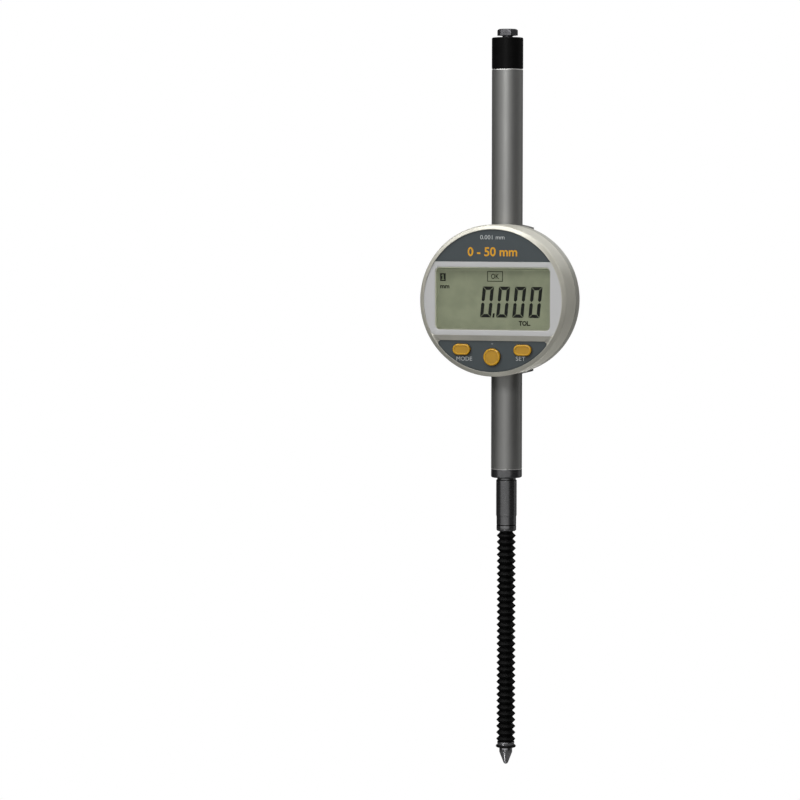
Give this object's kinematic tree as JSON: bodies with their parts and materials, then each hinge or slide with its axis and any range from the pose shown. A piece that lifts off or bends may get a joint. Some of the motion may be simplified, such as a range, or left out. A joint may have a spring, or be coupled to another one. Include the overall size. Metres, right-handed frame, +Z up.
{
  "type": "digital indicator",
  "caption": "Long-travel digital indicator: round swivelling display head on a slim guide tube, clamping stem, bellows-covered plunger with cone contact point.",
  "frame": {"origin": "on the plunger axis, at the middle of the clamping stem's ground length", "axes": "+Z up the plunger axis towards the cap, display faces -Y, +X to the right of the display"},
  "size_m": [0.058, 0.03, 0.2861],
  "materials": {
    "gunmetal": "dark blackened ground steel",
    "bush_bronze": "plain bearing bronze",
    "polished_steel": "hardened steel, ground and polished",
    "satin_steel": "satin drawn steel",
    "black_plastic": "fine matt black",
    "bolt_steel": "plain steel fastener",
    "black_rubber": "soft black rubber, slight sheen",
    "spring_steel": "spring steel",
    "housing_paint": "fine satin warm grey coat",
    "circuit_board": "green solder mask",
    "scale_glass": "scale with fine ruling",
    "dark_panel": "printed slate grey foil",
    "silver_frame": "silver grey lacquer",
    "clear_window": "clear window",
    "lcd_film": "olive grey liquid crystal display",
    "white_plastic": "white reflector",
    "key_orange": "amber moulded plastic"
  },
  "bodies": {
    "carrier": {"clamping_stem": "gunmetal", "stem_end_ring": "gunmetal", "lower_bush": "bush_bronze", "upper_bush": "bush_bronze", "guide_pin": "polished_steel", "tube_collar": "gunmetal", "guide_tube": "satin_steel", "top_cap": "black_plastic", "cap_bolt": "bolt_steel", "buffer_ring": "black_rubber", "return_spring": "spring_steel", "bellows": "black_rubber", "rear_body": "housing_paint", "back_cover": "housing_paint", "back_cover_screws": "bolt_steel", "swivel_seal": "black_rubber", "friction_washer": "spring_steel", "retaining_ring": "satin_steel", "read_head_board": "circuit_board", "read_head_holder": "black_plastic"},
    "plunger": {"spindle": "polished_steel", "stop_ring": "spring_steel", "spindle_head": "black_plastic", "scale_strip": "scale_glass", "bellows_clip": "polished_steel", "clip_oring": "black_rubber", "contact_point": "polished_steel"},
    "display_head": {"front_housing": "housing_paint", "upper_fascia": "dark_panel", "display_frame": "silver_frame", "window_lens": "clear_window", "lcd_glass": "lcd_film", "lcd_reflector": "white_plastic", "keypad_panel": "dark_panel", "main_board": "circuit_board", "board_screws": "bolt_steel", "board_chips": "black_plastic", "snap_domes": "spring_steel", "coin_cell": "polished_steel", "cell_clip": "spring_steel", "cell_door": "housing_paint", "data_port_cover": "black_rubber", "back_plate": "black_plastic", "back_plate_screws": "bolt_steel", "swivel_stop_pin": "polished_steel"},
    "mode_button": {"mode_key": "key_orange"},
    "set_button": {"set_key": "key_orange"},
    "centre_button": {"centre_key": "key_orange"}
  },
  "joints": [
    {"name": "plunger_slide", "type": "slide", "parent": "carrier", "child": "plunger", "axis": [0, 0, 1], "range_m": [0, 0.05], "stiffness_N_per_m": 30, "springref_m": -0.025, "deforming": ["bellows", "return_spring"]},
    {"name": "head_swivel", "type": "hinge", "parent": "carrier", "child": "display_head", "pos_m": [0, 0, 0.0775], "axis": [0, 1, 0], "range_deg": [-135, 135]},
    {"name": "mode_press", "type": "slide", "parent": "display_head", "child": "mode_button", "axis": [0, 1, 0], "range_m": [0, 0.0005], "stiffness_N_per_m": 500, "springref_m": -0.001},
    {"name": "set_press", "type": "slide", "parent": "display_head", "child": "set_button", "axis": [0, 1, 0], "range_m": [0, 0.0005], "stiffness_N_per_m": 500, "springref_m": -0.001},
    {"name": "centre_press", "type": "slide", "parent": "display_head", "child": "centre_button", "axis": [0, 1, 0], "range_m": [0, 0.0005], "stiffness_N_per_m": 500, "springref_m": -0.001}
  ]
}
